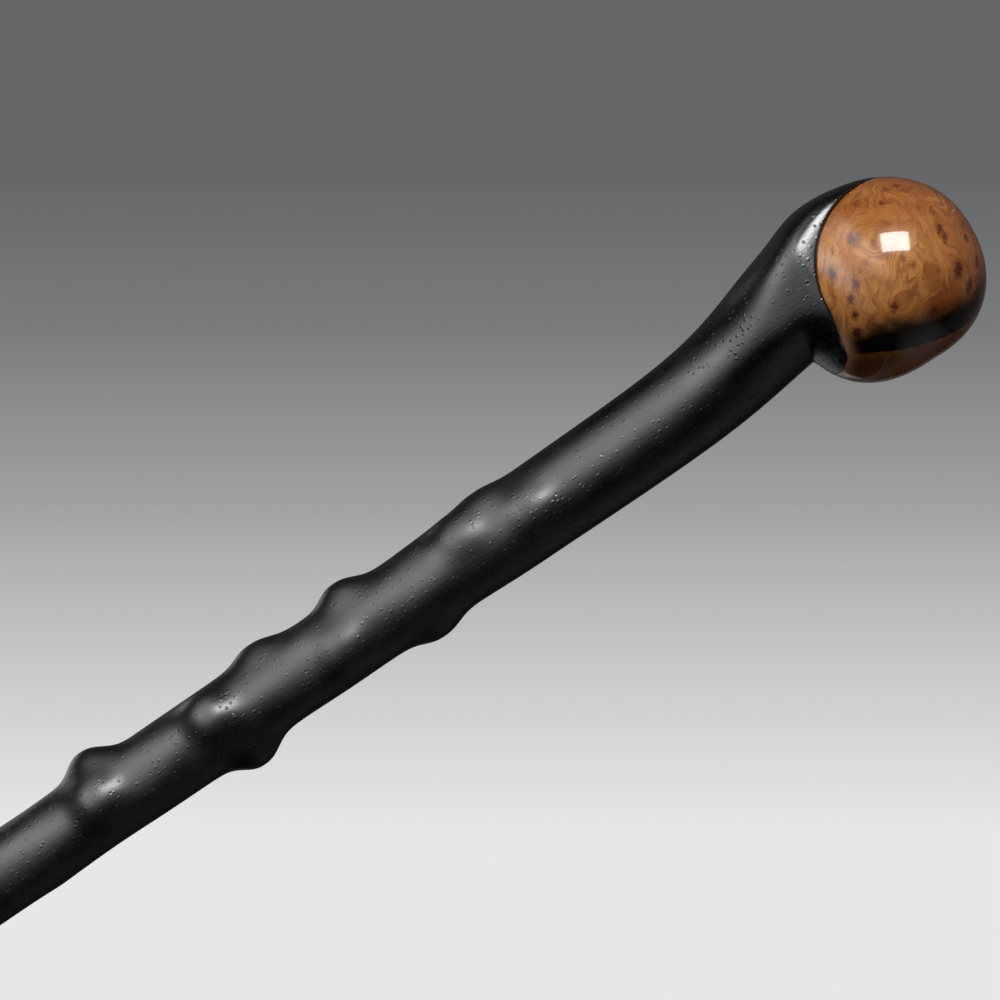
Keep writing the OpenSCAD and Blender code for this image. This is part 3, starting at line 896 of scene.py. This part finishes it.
dust = times(tree, between(tree, height_in(tree), dust_height, 0.0), blotch)
colour = blended(tree, speck, dark_rubber, pale_rubber)
set_inputs(tree, shader, {
    "Base Color": blended(tree, times(tree, dust, dust_share), colour, floor_dust),
    "Roughness": sum_of(tree, blotch, 0.14, 0.58),
    "Normal": bumped(tree, mould, depth=0.05, strength=0.4),
})
foot.data.materials.append(rubber)
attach(foot, "foot")
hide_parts("rubber_foot")

# Foot washer
# A zinc-plated steel disc moulded into the floor of the foot, so that the ferrule doesn't cut through it.
dark_zinc = (0.42, 0.43, 0.45, 1)
light_zinc = (0.60, 0.61, 0.62, 1)
zinc, tree, shader = new_finish("washer_steel")
blotch, speck = worn(tree, blotch_size=3.0, speck_size=0.25)
set_inputs(tree, shader, {
    "Base Color": blended(tree, blotch, dark_zinc, light_zinc),
    "Roughness": sum_of(tree, blotch, 0.18, 0.32),
    "Normal": bumped(tree, speck, depth=0.01, strength=0.3),
    "Metallic": 1.0,
})
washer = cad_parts["foot_washer"]
washer.data.materials.clear()
washer.data.materials.append(zinc)

# Camera
# A long lens square to the stick's side, turned so that the stick leans across the picture. The picture is
# 300 mm wide at the stick.
stick_slope = np.radians(34.3)
picture_width = 0.300
picture_middle = Vector((-0.0087, 0.0, 0.7759))
lens = 400.0
sensor = 36.0
camera_way = picture_width * lens / sensor
picture_right = Vector((np.sin(stick_slope), 0.0, np.cos(stick_slope)))
picture_up = Vector((-np.cos(stick_slope), 0.0, np.sin(stick_slope)))
towards_camera = picture_right.cross(picture_up)


def placed(right, up, back, middle):
    """A matrix whose columns are three axes and a place."""
    matrix = Matrix((right, up, back)).transposed().to_4x4()
    matrix.translation = middle
    return matrix


camera = bpy.data.objects.new("camera", bpy.data.cameras.new("camera"))
camera.data.lens = lens
camera.data.sensor_width = sensor
camera.data.clip_end = 100.0
camera.matrix_world = placed(
    picture_right, picture_up, towards_camera, picture_middle + camera_way * towards_camera
)
bpy.context.scene.collection.objects.link(camera)
bpy.context.scene.camera = camera


# Studio
# A pale round floor, a graded grey backdrop far behind, and soft boxes: a top box lights the colours, a dim
# one stands behind and a weak one below, and a key shows in the gloss alone, as its bright patch. Cloths and
# a mat around the stick show in its gloss alone too. None of it is part of the stick.
def soft_box(name, way, along, width, height, brightness, distance, middle=(0.0, 0.0, 0.85)):
    """An area lamp in a direction given as right, up and towards the camera, with its width along an axis."""
    back = (way[0] * picture_right + way[1] * picture_up + way[2] * towards_camera).normalized()
    right = (along - along.dot(back) * back).normalized()
    lamp = bpy.data.lights.new(name, "AREA")
    lamp.shape = "RECTANGLE"
    lamp.size = width
    lamp.size_y = height
    lamp.energy = brightness * np.pi * width * height
    box = bpy.data.objects.new(name, lamp)
    box.matrix_world = placed(right, back.cross(right), back, Vector(middle) + distance * back)
    box.visible_camera = False
    bpy.context.scene.collection.objects.link(box)
    return box


key_along = picture_right + 0.18 * picture_up
upright = Vector((0, 0, 1))
key = soft_box(
    "key_box", (0.19, 0.62, 0.76), key_along, width=0.72, height=0.66, brightness=25.0, distance=1.6
)
key.visible_diffuse = False
top = soft_box(
    "top_box", (0.0, 0.71, 0.70), picture_right, width=0.8, height=0.8, brightness=21.0, distance=2.0
)
top.visible_glossy = False
back = soft_box(
    "back_box", (0.60, -0.25, -0.75), upright, width=1.6, height=1.0, brightness=2.0, distance=2.2,
    middle=(0.0, 0.0, 0.6),
)
back.visible_glossy = False
under = soft_box(
    "under_box", (0.25, -0.85, 0.45), picture_right, width=0.6, height=0.6, brightness=0.6, distance=1.2
)
under.visible_glossy = False


def gloss_only(piece, colour):
    """Make a stage piece glow in a colour, times its own glow values, in reflections alone."""
    material, tree, shader = new_finish(piece.name + "_cloth", "Emission")
    shader.inputs["Color"].default_value = colour
    if "glow" in piece.data.attributes:
        glow = add_node(tree, "Attribute", attribute_name="glow").outputs["Fac"]
        tree.links.new(glow, shader.inputs["Strength"])
    piece.data.materials.append(material)
    piece.visible_camera = False
    piece.visible_diffuse = False
    piece.visible_transmission = False
    piece.visible_shadow = False


def sheet_faces(row_count, column_count):
    """Quads between the rows and columns of a grid of points."""
    row, column = np.meshgrid(np.arange(row_count - 1), np.arange(column_count - 1), indexing="ij")
    corner = row * column_count + column
    corners = [corner, corner + column_count, corner + column_count + 1, corner + 1]
    return np.stack(corners, axis=-1).reshape(-1, 4).tolist()


def screen(name, first_side, last_side, way, low, high, brightness, glow, rows=31, columns=61):
    """A tall curved screen around the stick, from one side to another in degrees, that only gloss shows.

    Sides are counted from the camera, towards the front of the knob. The glow is a function of the side and
    of the share of the height.
    """
    side, share = np.meshgrid(np.linspace(first_side, last_side, columns), np.linspace(0, 1, rows))
    turn = np.radians(side)
    points = np.stack([way * np.sin(turn), -way * np.cos(turn), low + (high - low) * share], axis=-1)
    piece = add_piece(name, points.reshape(-1, 3) / MM, sheet_faces(rows, columns))
    add_values(piece, "glow", brightness * glow(side, share))
    gloss_only(piece, (1, 1, 1, 1))


# A pale cloth to the left of the camera gives the long sheen
sheen_side = -46.0
near_width = 42.0
far_width = 34.0
sheen_fullness = 2.6
low_top = 0.525
low_fade = 0.02
low_narrowing = 11.0
low_rounding = 0.5
low_gain = 1.5
foot_end = 0.32
top_end = 0.13


def sheen_glow(side, share):
    """Glow of the pale cloth: a full bell over the side, wider towards the camera, that fades at both ends.

    It is brighter in its low part, which is narrower and rounder, and grows in two steps towards the top.
    """
    past = side - sheen_side
    low = grown(-share, -low_top, low_fade)
    width = np.where(past > 0, near_width, far_width - low_narrowing * low)
    bell = np.exp(-(np.abs(past / width) ** (sheen_fullness - low_rounding * low)))
    ends = np.clip(share / foot_end, 0, 1) * np.clip((1 - share) / top_end, 0, 1)
    high = 0.6 * grown(share, 0.70, 0.03) + 0.8 * grown(share, 0.83, 0.025)
    return bell * ends * (1 + low_gain * low + high)


def even_glow(side, share):
    """The same glow all over."""
    return np.ones_like(side)


screen("pale_screen", -130, 46, way=0.95, low=0.02, high=1.13, brightness=2.2, glow=sheen_glow)
# A dark cloth behind the camera gives the black, and a grey one stands on the far side
screen("dark_screen", -110, 100, way=2.6, low=-0.5, high=3.5, brightness=0.004, glow=even_glow)
screen("rear_screen", 100, 250, way=2.7, low=-0.5, high=3.5, brightness=0.05, glow=even_glow)

# A dim cloth on the right draws the line of light along the stick's lower edge
rim_side = 97.0
rim_width = 26.0


def rim_glow(side, share):
    """Glow of the dim cloth: a bell over the side, times a parabola over the height."""
    return np.exp(-(((side - rim_side) / rim_width) ** 2)) * 4 * share * (1 - share)


screen("rim_screen", 40, 154, way=2.5, low=0.35, high=1.4, brightness=0.22, glow=rim_glow)

# A low cloth behind the stick, to the left, draws the sheen that is seen from the rear
rear_side = 214.0
rear_half = 28.0


def rear_glow(side, share):
    """Glow of the low cloth: a parabola over the side, times one over the height."""
    return (1 - ((side - rear_side) / rear_half) ** 2) * 4 * share * (1 - share)


screen(
    "rear_cloth", rear_side - rear_half, rear_side + rear_half,
    way=0.95, low=-0.04, high=0.62, brightness=1.7, glow=rear_glow,
)

# The floor lies just below the foot's travel, so that the foot is in sight when it is pulled off
floor_drop = 0.046
floor_size = 3.5
floor_sides = 96
dark_floor = (0.62, 0.62, 0.62, 1)
light_floor = (0.66, 0.66, 0.66, 1)
floor_glow = (0.2, 0.2, 0.2, 1)
floor_angle = np.linspace(0, 2 * np.pi, floor_sides, endpoint=False)
floor_ring = np.stack([np.cos(floor_angle), np.sin(floor_angle), 0 * floor_angle], axis=-1)
floor_points = np.concatenate([floor_ring * floor_size, [(0, 0, 0)]]) - (0, 0, floor_drop)
floor = add_piece("floor", floor_points / MM, fan_faces(0, floor_sides, floor_sides, upwards=True))
floor_paint, tree, shader = new_finish("floor_paint")
blotch, speck = worn(tree, blotch_size=240.0, speck_size=2.0)
set_inputs(tree, shader, {
    "Base Color": blended(tree, blotch, dark_floor, light_floor),
    "Roughness": 0.7,
    "Specular IOR Level": 0.0,
    "Emission Color": floor_glow,
    "Emission Strength": 1.0,
})
floor.data.materials.append(floor_paint)
floor.visible_diffuse = False

# A dark mat on the camera's side of the floor, which only gloss shows
mat_columns = 36
mat_rows = np.array([0.1, 2.6])
mat_over_floor = 0.002
mat_colour = (0.004, 0.004, 0.004, 1)
mat_side, mat_way = np.meshgrid(np.radians(np.linspace(-115, 150, mat_columns)), mat_rows)
mat_height = 0 * mat_way + mat_over_floor - floor_drop
mat_points = np.stack([mat_way * np.sin(mat_side), -mat_way * np.cos(mat_side), mat_height], axis=-1)
mat = add_piece("dark_mat", mat_points.reshape(-1, 3) / MM, sheet_faces(len(mat_rows), mat_columns))
gloss_only(mat, mat_colour)

# The backdrop is graded along the picture's height, from a pale foot to a dark top
backdrop_way = 16.0
backdrop_half = 4.0
graded_share = 0.667
foot_grey = (0.80, 0.80, 0.80, 1)
top_grey = (0.125, 0.13, 0.135, 1)
middle_greys = ((0.25, 0.58), (0.5, 0.35), (0.75, 0.20))
backdrop_corners = np.array([(-1, -1), (1, -1), (1, 1), (-1, 1)]) * backdrop_half
backdrop_points = np.stack([
    backdrop_corners[:, 0], np.full(4, backdrop_way), backdrop_corners[:, 1] + picture_middle.z
], axis=-1) / MM
backdrop = add_piece("backdrop", backdrop_points, [[0, 1, 2, 3]])
backdrop_paint, tree, shader = new_finish("backdrop_paint", "Emission")
place = add_node(tree, "TexCoord").outputs["Object"]
rise = add_node(tree, "VectorMath", {0: place, 1: picture_up}, operation="DOT_PRODUCT").outputs["Value"]
graded_half = graded_share * (backdrop_way + camera_way) * sensor / lens / 2
seen_middle = picture_middle.dot(picture_up)
grading_place = add_node(tree, "MapRange", {
    "Value": rise, "From Min": seen_middle - graded_half, "From Max": seen_middle + graded_half
}).outputs["Result"]
grading = add_node(tree, "ValToRGB", {"Fac": grading_place})
for place_in_ramp, grey in middle_greys:
    grading.color_ramp.elements.new(place_in_ramp).color = (grey, grey, grey, 1)
grading.color_ramp.elements[0].color = foot_grey
grading.color_ramp.elements[-1].color = top_grey
tree.links.new(grading.outputs["Color"], shader.inputs["Color"])
backdrop.data.materials.append(backdrop_paint)
backdrop.visible_diffuse = False

# The world is nearly dark as a light, and a dark grey where the camera, gloss or glass sees it
unseen_sky = (0.006, 0.006, 0.006, 1)
seen_sky = (0.125, 0.125, 0.125, 1)
world = bpy.data.worlds.new("studio")
world.use_nodes = True
tree = world.node_tree
tree.nodes.clear()
rays = add_node(tree, "LightPath").outputs
seen_rays = rays["Is Camera Ray"]
for kind in ("Is Glossy Ray", "Is Transmission Ray"):
    seen_rays = add_node(tree, "Math", {0: seen_rays, 1: rays[kind]}, operation="MAXIMUM").outputs[0]
sky = add_node(tree, "Background", {"Color": blended(tree, seen_rays, unseen_sky, seen_sky)})
add_node(tree, "OutputWorld", {"Surface": sky.outputs[0]})
bpy.context.scene.world = world
bpy.context.scene.view_settings.view_transform = "Standard"
